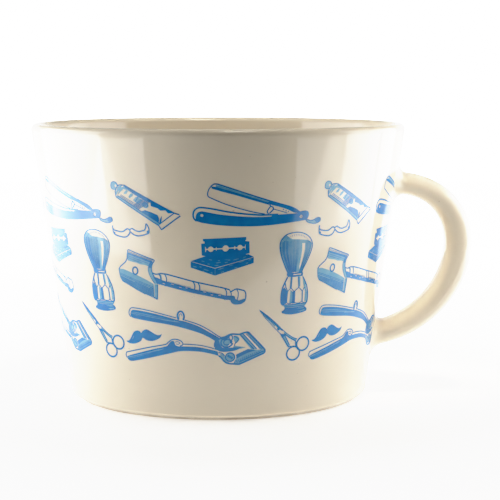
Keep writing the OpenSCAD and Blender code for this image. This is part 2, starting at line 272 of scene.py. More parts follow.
def clay_material():
    """Bare fired clay of the foot ring: matt and sandy, with a few darker grains."""
    n = Nodes("bare_clay")
    tone = n.ramp(n.noise(160, 6, 0.6), [(0.32, CLAY_DARK), (0.62, CLAY_LIGHT)])
    grain = n.levels(n.noise(1700, 2, 0.5), 0.66, 0.72, 0, 0.5)
    n.set(Base_Color=n.mix(grain, tone, CLAY_DARK))
    n.set(Roughness=n.levels(n.noise(900, 3), 0.3, 0.7, 0.72, 0.92))
    sand = n.bump(n.noise(2600, 3, 0.6), 0.05 * MM)
    n.set(Normal=n.bump(n.noise(500, 4, 0.6), 0.08 * MM, sand))
    n.set(IOR=1.45)
    return n.material


def ink_material(name, deep, thin):
    """Fired-on enamel: its tone wanders a little, and it is smooth but less glossy than the glaze."""
    n = Nodes(name)
    n.set(Base_Color=n.ramp(n.noise(420, 4, 0.6), [(0.34, deep), (0.68, thin)]))
    n.set(Roughness=n.levels(n.noise(260, 3), 0.3, 0.7, 0.12, 0.22))
    n.set(Normal=n.bump(n.noise(1500, 2, 0.5), 0.006 * MM))
    n.set(IOR=1.45)
    n.set(Coat_Weight=0.25, Coat_IOR=1.5, Coat_Roughness=0.08)
    return n.material


def floor_material():
    """Pale paper that glows more with its distance from the mug, so that it runs into the backdrop."""
    n = Nodes("pale_floor")
    n.set(Base_Color=n.ramp(n.noise(9, 3), [(0.3, FLOOR_DARK), (0.7, FLOOR_LIGHT)]))
    n.set(Roughness=n.levels(n.noise(30, 3), 0.3, 0.7, 0.55, 0.7))
    n.set(Normal=n.bump(n.noise(300, 3), 0.02 * MM))
    n.shader.inputs["Emission Color"].default_value = (*FLOOR_GLOW, 1)
    distance = n.add("ShaderNodeVectorMath", operation="LENGTH")
    n.link(n.place, distance.inputs[0])
    glow = n.levels(distance.outputs["Value"], GLOW_START, GLOW_END, GLOW_NEAR, GLOW_FAR)
    n.set(Emission_Strength=glow)
    return n.material


GLAZE = glaze_material()
CLAY = clay_material()
INK = ink_material("blue_enamel", INK_DEEP, INK_THIN)
TONE = ink_material("thin_blue_enamel", TONE_DEEP, TONE_THIN)


# ---------- cup ----------

def cup_outline(depth):
    """Heel, outer wall, lip, inner wall and floor; depth goes from the glaze's surface into the clay."""
    lip_z = MUG_HEIGHT - LIP_RADIUS
    lip_x = RIM_RADIUS - LIP_RADIUS * (1 + math.sin(LEAN)) * math.tan(LEAN) - LIP_RADIUS * math.cos(LEAN)
    heel_x = wall_radius(HEEL_HEIGHT) - HEEL_RADIUS / math.cos(LEAN)
    reach = LIP_RADIUS + INSIDE_CORNER
    corner_z = FLOOR_HEIGHT + INSIDE_CORNER
    drop = (lip_z + reach * math.sin(LEAN) - corner_z) / math.cos(LEAN)
    corner_x = lip_x - reach * math.cos(LEAN) - drop * math.sin(LEAN)
    heel = arc(heel_x, HEEL_HEIGHT, HEEL_RADIUS - depth, HEEL_END, -LEAN, HEEL_STEPS)
    lip = arc(lip_x, lip_z, LIP_RADIUS - depth, -LEAN, math.pi - LEAN, LIP_STEPS)
    corner = arc(corner_x, corner_z, INSIDE_CORNER + depth, -LEAN, -math.pi / 2, CORNER_STEPS)
    middle = (0, FLOOR_HEIGHT - depth)
    outer_wall = run(heel[-1], lip[0], OUTER_WALL_STEPS)
    inner_wall = run(lip[-1], corner[0], INNER_WALL_STEPS)
    inner_floor = run(corner[-1], middle, INSIDE_FLOOR_STEPS)
    return heel + outer_wall + lip + inner_wall + corner + inner_floor + [middle]


def recess_outline(depth):
    """Hollow under the mug, from the foot ring's inner side to the axis."""
    inner = FOOT_RADIUS - FOOT_WIDTH
    corner = arc(inner - RECESS_CORNER, RECESS_DEPTH - RECESS_CORNER, RECESS_CORNER + depth,
                 RECESS_DRAFT, math.pi / 2, RECESS_CORNER_STEPS)
    middle = (0, RECESS_DEPTH + depth)
    return [(inner, RECESS_EDGE)] + corner + run(corner[-1], middle, RECESS_STEPS) + [middle]


def build_cup():
    under_glaze = cup_outline(GLAZE_THICKNESS)
    coat = cup_outline(0) + list(reversed(under_glaze))
    place(lathe("cup_glaze_coat", coat, GLAZE), "glaze", "cup_glaze")

    chamfer = FOOT_CHAMFER
    inner, outer = FOOT_RADIUS - FOOT_WIDTH + chamfer, FOOT_RADIUS - chamfer
    ring = arc(inner, chamfer, chamfer, math.pi, math.pi * 1.5, CHAMFER_STEPS)
    ring += run((inner, 0), (outer, 0), FOOT_STEPS)
    ring += arc(outer, chamfer, chamfer, -math.pi / 2, 0, CHAMFER_STEPS)
    ring += [(FOOT_RADIUS, under_glaze[0][1])]
    clay = ring + under_glaze + list(reversed(recess_outline(GLAZE_THICKNESS)))
    place(lathe("cup_clay", clay, CLAY), "clay", "cup_body")

    hollow = recess_outline(0) + list(reversed(recess_outline(GLAZE_THICKNESS)[1:]))
    place(lathe("underside_glaze_coat", hollow, GLAZE), "glaze", "underside_glaze")


# ---------- handle ----------

HANDLE_TOP = MUG_HEIGHT - 17.7 * MM
HANDLE_MIDDLE = HANDLE_TOP - 17.8 * MM
HANDLE_BOTTOM = 17.2 * MM
# A little under the design's 21 mm, so that the smooth loft stays inside the design's box
HANDLE_REACH = 20.95 * MM
TOP_INSET, BOTTOM_INSET = 0.5 * MM, 4 * MM
ROOT_THICKNESS, MIDDLE_THICKNESS = 5.9 * MM, 7.4 * MM
ROOT_WIDTH, MIDDLE_WIDTH = 14.5 * MM, 13 * MM
SLIP_RADIUS = 3 * MM
SECTION_POWER = 2 / 2.6
HANDLE_SIDES = 88
LEAD_IN = 2.6 * MM
LEAD_IN_RINGS = 14
# Stretches of the loop from top to bottom: start and end in degrees, and how many rings
LOOP_STRETCHES = ((90, 74, 40), (74, -68, 84), (-68, -87, 56))
SLIP_TRIALS, TRIAL_SHARE = 14, 0.6


def handle_centre(angle):
    s = (1 + math.sin(angle)) / 2
    root = mix(wall_radius(HANDLE_BOTTOM) - BOTTOM_INSET, wall_radius(HANDLE_TOP) - TOP_INSET, s)
    rise = mix(HANDLE_MIDDLE - HANDLE_BOTTOM, HANDLE_TOP - HANDLE_MIDDLE, s)
    far = wall_radius(HANDLE_MIDDLE) + HANDLE_REACH
    return Vector((root + (far - root) * math.cos(angle), 0, HANDLE_MIDDLE + rise * math.sin(angle)))


def handle_stations():
    """Centre, heading and fullness of every ring; they crowd near the wall, where the fillets are."""
    stations = []
    for i in range(LEAD_IN_RINGS):
        offset = Vector((-LEAD_IN * (1 - i / LEAD_IN_RINGS), 0, 0))
        stations.append((handle_centre(math.pi / 2) + offset, Vector((1, 0, 0)), 0.0))
    angles = [mix(start, end, i / count) for start, end, count in LOOP_STRETCHES for i in range(count)]
    angles.append(LOOP_STRETCHES[-1][1])
    for a in map(math.radians, angles):
        heading = (handle_centre(a - 0.004) - handle_centre(a + 0.004)).normalized()
        stations.append((handle_centre(a), heading, math.cos(a) ** 2))
    return stations


def quarter(distance, radius):
    """Concave quarter round: its full radius at the wall, nothing a radius away from it."""
    if distance <= 0:
        return radius
    if distance >= radius:
        return 0.0
    return radius - math.sqrt(radius ** 2 - (radius - distance) ** 2)


def signed_power(value, power):
    return math.copysign(abs(value) ** power, value)


def handle_ring(centre, heading, fullness):
    """One ring of the glaze, pushed out along its own normals where it meets the wall."""
    up = Vector((-heading.z, 0, heading.x))
    side = Vector((0, 1, 0))
    t = mix(ROOT_THICKNESS, MIDDLE_THICKNESS, fullness) / 2
    w = mix(ROOT_WIDTH, MIDDLE_WIDTH, fullness) / 2
    points = []
    for k in range(HANDLE_SIDES):
        a = 2 * math.pi * k / HANDLE_SIDES
        c, s = math.cos(a), math.sin(a)
        point = centre + up * t * signed_power(c, SECTION_POWER) + side * w * signed_power(s, SECTION_POWER)
        normal = up * signed_power(c, 2 - SECTION_POWER) / t + side * signed_power(s, 2 - SECTION_POWER) / w
        normal.normalize()
        spread = 0.0
        for _ in range(SLIP_TRIALS):
            trial = point + normal * spread
            away = math.hypot(trial.x, trial.y) - wall_radius(trial.z)
            spread = mix(spread, GLAZE_THICKNESS + quarter(away, SLIP_RADIUS), TRIAL_SHARE)
        points.append(point + normal * spread)
    return points


def build_handle():
    rings = [handle_ring(*station) for station in handle_stations()]
    vertices = [p for ring in rings for p in ring]
    faces = []
    for i in range(len(rings) - 1):
        for k in range(HANDLE_SIDES):
            n = (k + 1) % HANDLE_SIDES
            a, b = i * HANDLE_SIDES, (i + 1) * HANDLE_SIDES
            faces.append((a + k, a + n, b + n, b + k))
    faces.append(tuple(reversed(range(HANDLE_SIDES))))
    faces.append(tuple(range((len(rings) - 1) * HANDLE_SIDES, len(rings) * HANDLE_SIDES)))
    coat = make_object("handle_glaze_coat", vertices, faces, GLAZE)
    place(coat, "glaze", "handle_glaze")
    for node in ("handle", "upper_handle_slip", "lower_handle_slip"):
        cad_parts[node].material_slots[0].material = CLAY


# ---------- print: drawing helpers ----------
# A drawing is laid out flat in sheet millimetres: x runs around the wall from the middle of its front,
# measured at a radius of 50 mm, and y is the height above the table.

SHEET_RADIUS = 50.0
REPEAT = math.radians(66)
REPEATS = range(-5, 3)
HANDLE_GAP = math.radians(28)
SHEET_START = math.pi / 2 + HANDLE_GAP / 2 - 2 * math.pi
SHEET_END = math.pi / 2 - HANDLE_GAP / 2
LEAST_SCRAP = math.radians(4)
FILM_TOP = 0.045 * MM
TONE_TOP = 0.02 * MM
FILM_BOTTOM = -0.02 * MM
FILM_CELL = 1.2
SMALLEST_TRIANGLE = 1e-7
FINE, THIN, MEDIUM = 0.14, 0.20, 0.28


def spline(p, q, r, s, t):
    """Catmull-Rom: a share of the way from q to r, between p and s."""
    bend = 2 * p - 5 * q + 4 * r - s
    twist = 3 * q - p - 3 * r + s
    return 0.5 * (2 * q + (r - p) * t + bend * t * t + twist * t ** 3)


def smooth(points, closed=False, steps=6):
    """A curve through all the points."""
    count = len(points)
    result = []
    for i in range(count if closed else count - 1):
        if closed:
            a, b, c, d = (points[(i + j) % count] for j in (-1, 0, 1, 2))
        else:
            a, b, c, d = (points[min(max(i + j, 0), count - 1)] for j in (-1, 0, 1, 2))
        for k in range(steps):
            result.append(tuple(spline(*four, k / steps) for four in zip(a, b, c, d)))
    if not closed:
        result.append(points[-1])
    return result


def rounded(points):
    return smooth(points, closed=True)


def oval(x, y, rx, ry, tilt=0, start=0, end=360, steps=28):
    """Points round an ellipse, or along the part of it between two angles."""
    c, s = math.cos(math.radians(tilt)), math.sin(math.radians(tilt))
    whole = abs(end - start) >= 360
    points = []
    for k in range(steps if whole else steps + 1):
        a = math.radians(start + (end - start) * k / steps)
        u, v = rx * math.cos(a), ry * math.sin(a)
        points.append((x + u * c - v * s, y + u * s + v * c))
    return points


def flecks(marks, height):
    """Bare ovals for the inside of a filled shape, each mark being its middle, half length and tilt."""
    return [oval(x, y, length, height, tilt, steps=8) for x, y, length, tilt in marks]


class Drawing:
    """Flat line art: the polygons that carry full ink, and the washes, which carry a pale tone."""

    def __init__(self):
        self.polygons = []
        self.washes = []

    def fill(self, outline, *holes):
        self.polygons.append([outline, *holes])

    def wash(self, outline, *holes):
        self.washes.append([outline, *holes])

    def line(self, points, width, end_width=None, closed=False):
        """A pen stroke; its width may change along the way to end_width."""
        end_width = width if end_width is None else end_width
        count = len(points)
        sides = []
        for i, (x, y) in enumerate(points):
            before = points[i - 1] if closed or i else points[0]
            after = points[(i + 1) % count] if closed or i < count - 1 else points[-1]
            dx, dy = after[0] - before[0], after[1] - before[1]
            length = math.hypot(dx, dy) or 1.0
            half = (width + (end_width - width) * i / max(count - 1, 1)) / 2
            sides.append(((x - dy / length * half, y + dx / length * half),
                          (x + dy / length * half, y - dx / length * half)))
        for i in range(count if closed else count - 1):
            (a, b), (c, d) = sides[i], sides[(i + 1) % count]
            self.polygons.append([[a, b, d, c]])

    def curve(self, points, width, end_width=None, closed=False, steps=5):
        self.line(smooth(points, closed, steps), width, end_width, closed)

    def ring(self, x, y, rx, ry, width, tilt=0):
        self.line(oval(x, y, rx, ry, tilt), width, closed=True)

    def hatch(self, outline, angle, spacing, width):
        """Parallel strokes across a closed outline, as in an engraving."""
        c, s = math.cos(math.radians(angle)), math.sin(math.radians(angle))
        turned = [(x * c + y * s, -x * s + y * c) for x, y in outline]
        low = min(v for _, v in turned)
        high = max(v for _, v in turned)
        level = low + spacing / 2
        while level < high:
            hits = []
            for (u0, v0), (u1, v1) in zip(turned, turned[1:] + turned[:1]):
                if (v0 > level) != (v1 > level):
                    hits.append(u0 + (u1 - u0) * (level - v0) / (v1 - v0))
            hits.sort()
            for u0, u1 in zip(hits[::2], hits[1::2]):
                self.line([(u * c - level * s, u * s + level * c) for u in (u0, u1)], width)
            level += spacing


def flat_mesh(polygons, first_x, last_x):
    """The polygons as one flat mesh, cut into upright strips narrow enough to follow the wall."""
    mesh = bmesh.new()
    for loops in polygons:
        corners = [Vector((x, y, 0)) for loop in loops for x, y in loop]
        vertices = [mesh.verts.new(c) for c in corners]
        for triangle in tessellate_polygon([[Vector((x, y, 0)) for x, y in loop] for loop in loops]):
            a, b, c = (corners[i] for i in triangle)
            turn = (b - a).cross(c - a).z
            if abs(turn) > SMALLEST_TRIANGLE:
                mesh.faces.new([vertices[i] for i in (triangle if turn > 0 else reversed(triangle))])
    x = first_x + FILM_CELL
    while x < last_x:
        cut_at(mesh, x)
        x += FILM_CELL
    return mesh


def cut_at(mesh, x, drop_before=False, drop_after=False):
    everything = mesh.verts[:] + mesh.edges[:] + mesh.faces[:]
    bmesh.ops.bisect_plane(mesh, geom=everything, dist=1e-6, plane_co=(x, 0, 0), plane_no=(1, 0, 0),
                           clear_inner=drop_before, clear_outer=drop_after)


def on_wall(x, y, turn, lift):
    """A sheet point on the wall: its place and the wall's outward normal."""
    angle = x / SHEET_RADIUS + turn
    z = y * MM
    radius = wall_radius(z) - settle_in(angle - math.pi / 2, z) + lift
    normal = (math.sin(angle) * math.cos(LEAN), -math.cos(angle) * math.cos(LEAN), -math.sin(LEAN))
    return (radius * math.sin(angle), -radius * math.cos(angle), z), normal


def fire_print(name, node, polygons, ink, top):
    """Wraps polygons onto the wall at every repeat that the sheet reaches, as closed films in one piece."""
    xs = [x for loops in polygons for loop in loops for x, _ in loop]
    first_x, last_x = min(xs), max(xs)
    flat = flat_mesh(polygons, first_x, last_x)
    vertices, faces, normals = [], [], []
    for turn in (k * REPEAT for k in REPEATS):
        first, last = first_x / SHEET_RADIUS + turn, last_x / SHEET_RADIUS + turn
        if last < SHEET_START + LEAST_SCRAP or first > SHEET_END - LEAST_SCRAP:
            continue
        piece = flat.copy()
        if first < SHEET_START:
            cut_at(piece, (SHEET_START - turn) * SHEET_RADIUS, drop_before=True)
        if last > SHEET_END:
            cut_at(piece, (SHEET_END - turn) * SHEET_RADIUS, drop_after=True)
        piece.verts.index_update()
        base, count = len(vertices), len(piece.verts)
        for lift in (top, FILM_BOTTOM):
            for v in piece.verts:
                point, normal = on_wall(v.co.x, v.co.y, turn, lift)
                vertices.append(point)
                normals.append(normal)
        for face in piece.faces:
            corner = [v.index for v in face.verts]
            faces.append([base + i for i in corner])
            faces.append([base + count + i for i in reversed(corner)])
        for edge in piece.edges:
            if edge.is_boundary:
                loop = edge.link_loops[0]
                a, b = loop.vert.index, loop.link_loop_next.vert.index
                faces.append([base + b, base + a, base + count + a, base + count + b])
        piece.free()
    flat.free()
    film = make_object(name, vertices, faces, ink)
    film.data.normals_split_custom_set_from_vertices(normals)
    place(film, "ink", node)


# ---------- print: the nine motifs ----------

def draw_straight_razor(d):
    body = smooth([(-4.9, 55.75), (-4.85, 57), (-4.45, 57.9), (-3.6, 58.3), (-2.6, 58.25), (1.6, 57.45),
                   (7.6, 56.85), (12, 56.7), (14.7, 56.75)])
    body += smooth([(14.9, 57.2), (18.3, 57.3), (21.5, 57.4), (22.6, 57.85), (24, 58.05), (25, 57.8),
                    (25.35, 56.9), (25, 55.9), (24.5, 55.5)])
    body += smooth([(22.9, 55.3), (19.6, 54.95), (15, 54.5), (10, 54.25), (5, 54.35), (0, 54.75),
                    (-3.5, 55.3)])
    d.fill(body, oval(-3.3, 57.25, 0.42, 0.4), oval(23.05, 56.5, 0.42, 0.42))
    d.fill(oval(23.05, 56.5, 0.14, 0.14, steps=12))
    d.curve([(-4.7, 55.75), (-5.35, 56.4), (-5.55, 57.3), (-5.3, 58.4), (-4.5, 59.15), (-3.3, 59.35),
             (-0.3, 58.95), (3.3, 58.2), (7.7, 57.6), (12, 57.25), (16.5, 57.3)], 0.42)
    d.curve([(-0.8, 65.15), (-1.4, 64.3), (-1.75, 63.2), (-1.6, 62.35), (-0.8, 61.85), (2.2, 60.5),
             (4.8, 59.55), (7.4, 58.75), (10, 58.05), (12.9, 57.5)], 0.27)
    d.curve([(-0.9, 65.05), (-0.2, 65.6), (0.5, 65.65), (1.3, 65.45), (5, 64.15), (10, 62.4), (15, 60.75),
             (19.4, 59.4), (21.2, 58.65), (22.5, 57.75)], 0.34)
    d.fill([(-0.9, 65), (0.5, 64.85), (5, 63.45), (10, 61.8), (14, 60.45), (13.9, 59.95), (10, 61.15),
            (5, 62.75), (1.8, 63.65), (-0.6, 64.4)])
    d.wash([(0.3, 65.4), (1.3, 65.25), (5, 63.95), (10, 62.2), (14.2, 60.85), (14, 60.4), (5, 63.4),
            (0.3, 64.9)])
    d.fill(rounded([(14.2, 60.85), (19.4, 59.4), (21.2, 58.65), (22.5, 57.75), (21.3, 57.55), (19.2, 58.5),
                    (16.8, 59.35), (14.2, 60.1)]))
    d.curve([(14.1, 60.2), (14.3, 59.5), (13.85, 58.8), (13.55, 58.1), (13.9, 57.5)], 0.3)
    d.curve([(14.3, 59.6), (14.95, 59.3), (15.15, 58.75), (14.6, 58.1), (14.1, 57.6)], 0.32)
    d.curve([(15.1, 58.8), (17.1, 58.2), (19, 57.6)], THIN)
    for x, y in ((17.9, 58.6), (18.65, 58.2), (19.3, 57.95)):
        d.fill(oval(x, y, 0.18, 0.16, steps=10))
    tail = [(24.6, 55.6), (25, 54.95), (26, 54.6), (27.2, 54.4), (28.3, 54.6), (29, 55.1), (29, 55.7),
            (28.5, 56), (27.7, 55.85), (27, 55.45), (26, 55.25), (25.3, 55.5)]
    d.curve(tail, 0.24, closed=True)
    d.wash(rounded(tail))
    d.fill(rounded([(27.3, 55.2), (27.9, 55.8), (28.6, 55.9), (28.95, 55.45), (28.7, 54.95), (28, 54.7)]))


def draw_cream_tube(d):
    top, crimp_top, corner_top = (-23.87, 64.9), (-10.5, 57.75), (-8.9, 57.05)
    low, crimp_low, corner_low = (-26.6, 61.65), (-14.8, 54.3), (-14.1, 53.2)

    def at(along, down):
        return between(between(top, crimp_top, along), between(low, crimp_low, along), down)

    d.line([top, at(0.5, 0), crimp_top], 0.38)
    d.line([low, at(0.5, 1), crimp_low, corner_low], MEDIUM)
    d.line([crimp_top, (-9.3, 57.45), corner_top, corner_low], 0.34)
    d.line([crimp_top, (-14.5, 54.75)], MEDIUM)
    d.line([at(0.01, 0.86), at(0.99, 0.86)], THIN)
    d.wash([at(0, 0.86), at(1, 0.86), at(1, 1), at(0, 1)])
    stripes = [
        [(-25.5, 63.45), (-25.05, 64.2), (-24.35, 64.45), (-24.2, 63.9), (-24.85, 63.3)],
        [(-24.25, 62.5), (-23.95, 63.15), (-23.25, 63.65), (-22.9, 63.3), (-23.4, 62.6)],
        [(-22.9, 61.7), (-22.45, 62.45), (-21.9, 62.85), (-21.35, 62.65), (-21.8, 61.95), (-22.5, 61.5)],
        [(-21.6, 60.95), (-20.95, 61.75), (-20.2, 61.95), (-19.6, 61.5), (-19.05, 61), (-19.6, 60.4),
         (-20.25, 59.95)],
    ]
    d.wash([at(0, 0.05), at(0.62, 0.05), at(0.62, 0.86), at(0, 0.86)], *stripes,
           oval(-18.2, 59.75, 0.95, 0.8, -30))
    d.wash([(-26.55, 62), (-26.6, 62.9), (-26.2, 63.7), (-25.6, 64.6), (-24.4, 64.9), (-25.9, 63)])
    d.fill([at(0.02, 0.02), at(0.56, 0.02), at(0.56, 0.12), at(0.36, 0.2), at(0.2, 0.17), at(0.03, 0.1)])
    d.line([at(0.33, 0.22), at(0.35, 0.55)], MEDIUM)
    d.hatch([at(0.4, 0.12), at(0.56, 0.1), at(0.5, 0.86), at(0.36, 0.86)], -30, 0.3, THIN)
    d.hatch([at(0.05, 0.66), at(0.36, 0.62), at(0.36, 0.86), at(0.05, 0.86)], -30, 0.34, FINE)
    d.ring(-18.2, 59.75, 0.62, 0.5, THIN, -30)
    d.fill(oval(-18.2, 59.75, 0.22, 0.18, -30, steps=12))
    d.fill([at(0.54, 0.04), at(0.98, 0.04), at(0.93, 0.16), at(0.86, 0.09), at(0.8, 0.24), at(0.73, 0.2),
            at(0.62, 0.28)])
    d.fill([(-18.3, 58.4), (-17.9, 58.2), (-16.8, 57.9), (-15, 57.15), (-14.65, 56.4), (-14.65, 55.7),
            at(0.955, 0.86), at(0.56, 0.86)])
    d.fill([(-14.55, 55), (-14.4, 56), (-13.85, 56.95), (-13.9, 55.9), (-14.05, 55.2)])
    cap = rounded([(-27.95, 64.6), (-27.8, 65.3), (-27.2, 65.75), (-26.45, 65.65), (-25.95, 65.1),
                   (-25.95, 64.4), (-26.45, 63.85), (-27.2, 63.65), (-27.8, 63.95)])
    d.wash(cap, oval(-26.5, 64.65, 0.3, 0.36, steps=14))
    d.line(cap, THIN, closed=True)
    d.curve([(-25.95, 64.7), (-25.1, 64.95), top], MEDIUM)
    d.curve([(-26.45, 63.8), (-26.75, 63), low], MEDIUM)


def draw_outline_moustache(d):
    d.curve([(-28.6, 53.8), (-28.65, 53.1), (-28.2, 52.55), (-27.3, 52.35), (-26.2, 52.2), (-25.3, 52.35),
             (-24.6, 52.8), (-24, 53.1), (-23.35, 52.9), (-22.6, 53.2), (-21.95, 52.9), (-21.3, 52.6),
             (-20.5, 52.5), (-19.7, 52.7), (-19, 52.9), (-18.6, 53.5), (-18.3, 54.65), (-17.8, 53.9),
             (-17.65, 53), (-17.75, 52.2), (-18.6, 51.8), (-19.6, 51.5), (-20.8, 51.3), (-21.8, 51.45),
             (-22.5, 51.8), (-23.1, 52.3)], 0.36)
    d.curve([(-28.65, 53.2), (-28.6, 52.2), (-28.3, 51.5), (-27.4, 51.1), (-26.3, 50.85), (-25.2, 50.75),
             (-24.3, 51), (-23.7, 51.5), (-23.3, 52.2), (-23.3, 52.9)], 0.36)
    d.fill(oval(-28.3, 51.75, 0.36, 0.34, steps=14))
    d.fill(oval(-17.95, 52.45, 0.36, 0.44, steps=14))


def draw_blade_box(d):
    holes = ((-1.1, 0.74), (2.8, 0.84), (6.6, 0.72))
    bars = ((-2.5, 0.7), (0.35, 0.5), (5.2, 0.5), (8.05, 0.7))

    def slot_half(x):
        in_holes = [math.sqrt(max(r * r - (x - c) ** 2, 0)) for c, r in holes]
        in_bars = [half for c, half in bars if abs(x - c) < 0.12]
        return max([0.17] + in_holes + in_bars)

    steps = [-2.6 + 0.1 * k for k in range(108)]
    slot = [(x, 48.2 + 0.055 * x + slot_half(x)) for x in steps]
    slot += [(x, 48.2 + 0.055 * x - slot_half(x)) for x in reversed(steps)]
    d.fill([(-3.15, 50.9), (8.2, 51.4), (8.2, 50.8), (7.9, 50.3), (9.05, 50.2), (9.2, 47), (8.1, 46.75),
            (8.8, 46.3), (3.6, 45.3), (-1.2, 45.6), (-2.4, 46.2), (-3.5, 46.45), (-3.6, 49.6), (-2.7, 49.7),
            (-2.7, 50.2), (-3.1, 50.35)], slot)

    corner, left, right = (0, 43.05), (-6.5, 44.85), (10.35, 45.95)
    back_left, back_right = (-2.7, 46.2), (8.9, 46.7)
    marks = [(-1.2, 45.25, 0.5, -8), (1.05, 45.05, 0.32, 0), (3.75, 45.15, 0.36, 0), (0.9, 44.5, 0.75, 8),
             (3, 44.55, 0.5, 10), (-3.2, 44.85, 0.45, -15), (5.6, 45.35, 0.9, 14), (7.9, 45.95, 0.5, 14),
             (0.4, 43.75, 0.6, 4), (-1.7, 44.1, 0.35, -12)]
    d.fill([left, corner, right, back_right, (3.4, 45.2), back_left], *flecks(marks, 0.11))
    d.wash([left, corner, right, back_right, back_left])
    low_left, low_corner, low_right = (-6.55, 43.1), (-0.05, 40.95), (10.35, 44.3)
    marks = [(-5.4, 43.35, 0.6, -17), (-3.9, 43.3, 0.35, -17), (-2.4, 42.5, 0.8, -17),
             (-3.1, 42.1, 0.3, -17), (-0.9, 41.7, 0.35, -17)]
    d.fill([(left[0], left[1] - 0.16), (-0.08, 42.85), (-0.1, 40.98), low_left], *flecks(marks, 0.12))
    marks = [(1.6, 42.85, 0.9, 16), (4.3, 43.75, 0.7, 16), (7, 44.65, 0.9, 16), (9.3, 45.2, 0.45, 16),
             (2, 41.95, 0.5, 16), (5.6, 43.1, 0.5, 16), (8.6, 44.3, 0.4, 16)]
    d.fill([(0.08, 42.85), (right[0], right[1] - 0.16), low_right, (0.05, 40.98)], *flecks(marks, 0.12))
    d.wash([(left[0], left[1] - 0.1), (0, 42.9), (right[0], right[1] - 0.1), low_right, low_corner,
            low_left])


